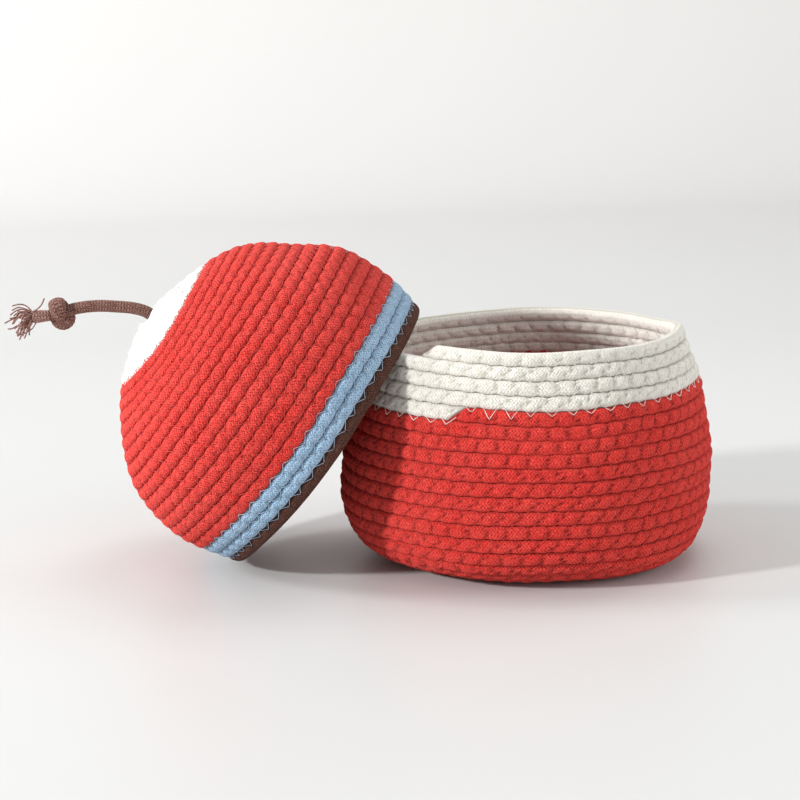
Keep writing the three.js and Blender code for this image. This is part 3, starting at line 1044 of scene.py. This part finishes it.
def strandLine(chance, tip):
    high, deep = fray["footSpread"]
    foot = np.array([0, chance.uniform(-high, high), chance.uniform(-deep, deep)]) + fray["foot"]
    away = tip - foot
    bend = np.array([chance.normal(), chance.normal(), chance.normal()])
    bend = bend * fray["bend"] * np.linalg.norm(away)
    share = np.linspace(0, 1, fray["strandPoints"])[:, None]
    curl = np.sin(share * fray["curlTurn"]) * share * chance.normal(size=3) * fray["curl"]
    arch = [0, fray["arch"], 0] * np.sin(share * math.pi)
    return foot + away * share + np.sin(share * math.pi) * bend + curl + arch


def frayedMesh(name, frameOfEnd):
    chance = np.random.default_rng(fray["seed"])
    deep = fray["longDepth"]
    tips = [np.array([onwards, up, chance.uniform(-deep, deep)]) for onwards, up in fray["longTips"]]
    for _ in range(fray["strands"]):
        lean = math.radians(chance.uniform(*fray["lean"]))
        reach = chance.uniform(*fray["reach"])
        sideways = chance.uniform(-fray["depth"], fray["depth"])
        onwards = fray["fanFrom"] + reach * math.cos(lean)
        tips.append(np.array([onwards, reach * math.sin(lean), sideways]))
    lines = [fromCordEnd(frameOfEnd, strandLine(chance, tip)) for tip in tips]
    stray = smoothLine(fray["stray"], fray["straySpacing"])
    lines.append(fromCordEnd(frameOfEnd, stray))
    stub = smoothLine(fray["stub"], handle["spacing"])
    stubThick = np.linspace(*fray["stubThick"], len(stub))
    parts = [
        braidMesh("stub", fromCordEnd(frameOfEnd, stub), stubThick),
        threadMesh("strands", lines, fray["strandThick"] * mm),
    ]
    return joinMeshes(name, parts)


def addHandle():
    routePoints = [(x, 0, z) for x, z in handle["route"]]
    place = np.array(lidToWorld)
    line = placed(smoothLine(routePoints, handle["spacing"]) * mm, place)
    outer = (line[-1], np.array(handle["endOnwards"]), np.array(handle["endUp"]))
    inner = (line[0], -place[:3, 2], place[:3, 0])
    finish = finishes["handle_cord"]
    cord = addPiece(
        "handle_cord_braid", braidMesh("handle_cord_braid", line, handle["radius"]),
        finish, "lid", "handle_cord", "handle_cord",
    )
    outerKnot = addPiece(
        "handle_knot_braid", knotMesh("handle_knot_braid", outer),
        finish, "lid", "handle_cord", "handle_knot",
    )
    frayed = addPiece(
        "frayed_end_braid", frayedMesh("frayed_end_braid", outer),
        finishes["frayed_cord"], "lid", "handle_cord", "frayed_end",
    )
    addPiece(
        "stop_knot_braid", knotMesh("stop_knot_braid", inner),
        finish, "lid", "handle_cord", "stop_knot",
    )


addHandle()


# Floor and wall in one pale sheet, meeting in a wide bend. The far floor and the wall are painted
# lighter than the near floor: painted light for the lamps' light that falls off away from the
# objects.
backdrop = {
    "width": 12.0,
    "front": -6.0,
    "bendStart": 1.6,
    "bendRadius": 0.5,
    "bendSteps": 24,
    "height": 2.4,
    "nearTone": linear(202, 203, 202),
    "farPaintedLighter": linear(224, 223, 222),
    "wallPaintedLighter": linear(221, 220, 218),
    "farFrom": 0.7,
    "wallBy": 0.3,
    "roughness": 0.45,
    "gloss": 0.4,
}


def backdropLine():
    line = [(backdrop["front"], 0.0), (backdrop["bendStart"], 0.0)]
    for i in range(1, backdrop["bendSteps"] + 1):
        angle = i / backdrop["bendSteps"] * math.pi / 2
        line.append((
            backdrop["bendStart"] + backdrop["bendRadius"] * math.sin(angle),
            backdrop["bendRadius"] * (1 - math.cos(angle)),
        ))
    line.append((line[-1][0], backdrop["height"]))
    return line


def addBackdrop():
    bm = bmesh.new()
    line = backdropLine()
    bmesh.ops.create_grid(bm, x_segments=1, y_segments=len(line) - 1, size=0.5)
    for vert in bm.verts:
        y, z = line[round((vert.co.y + 0.5) * (len(line) - 1))]
        vert.co = Vector((vert.co.x * backdrop["width"], y, z))
    mesh = bpy.data.meshes.new("backdrop")
    bm.to_mesh(mesh)
    bm.free()
    mesh.shade_smooth()
    sheet = bpy.data.objects.new("backdrop", mesh)
    bpy.context.scene.collection.objects.link(sheet)
    material, tree, shader = newMaterial("backdrop")
    position = tree.nodes.new("ShaderNodeSeparateXYZ")
    tree.links.new(tree.nodes.new("ShaderNodeTexCoord").outputs["Object"], position.inputs[0])
    # Painted light: the far floor and the wall blend to lighter tones than the near floor.
    farLightShare = between(tree, position.outputs[1], backdrop["farFrom"], backdrop["bendStart"], 1)
    wallLightShare = between(tree, position.outputs[2], 0.0, backdrop["wallBy"], 1)
    tone = blendColours(tree, farLightShare, backdrop["nearTone"], backdrop["farPaintedLighter"])
    tone = blendColours(tree, wallLightShare, tone, backdrop["wallPaintedLighter"])
    tree.links.new(tone, shader.inputs["Base Color"])
    shader.inputs["Roughness"].default_value = backdrop["roughness"]
    shader.inputs["Specular IOR Level"].default_value = backdrop["gloss"]
    mesh.materials.append(material)


addBackdrop()


# Each lamp: its name, where it stands, what it faces, its size in metres and its power.
lamps = [
    ("key", (-2.55, -1.17, 1.18), (-0.05, 0, 0.06), 0.28, 87.0),
    ("window", (-2.75, 0.3, 1.3), (-0.05, 0, 0.06), 0.6, 46.0),
    ("front", (1.1, -1.7, 0.6), (0, 0, 0.08), 1.6, 9.0),
    ("side", (1.7, -0.6, 0.7), (0, 0, 0.06), 1.0, 9.5),
    ("top", (0.3, 0.4, 1.2), (0, 0, 0.05), 0.8, 4.5),
]
skyStrength = 0.52


def addLamp(name, place, target, size, power):
    data = bpy.data.lights.new(name, "AREA")
    data.shape = "DISK"
    data.size = size
    data.energy = power
    lamp = bpy.data.objects.new(name, data)
    bpy.context.scene.collection.objects.link(lamp)
    lamp.location = place
    lamp.rotation_euler = (Vector(target) - Vector(place)).to_track_quat("-Z", "Y").to_euler()


for lamp in lamps:
    addLamp(*lamp)
world = bpy.data.worlds.new("studio")
world.use_nodes = True
sky = world.node_tree.nodes["Background"]
sky.inputs["Color"].default_value = (1, 1, 1, 1)
sky.inputs["Strength"].default_value = skyStrength
bpy.context.scene.world = world
bpy.context.scene.view_settings.view_transform = "Standard"
print("stage and lights made")
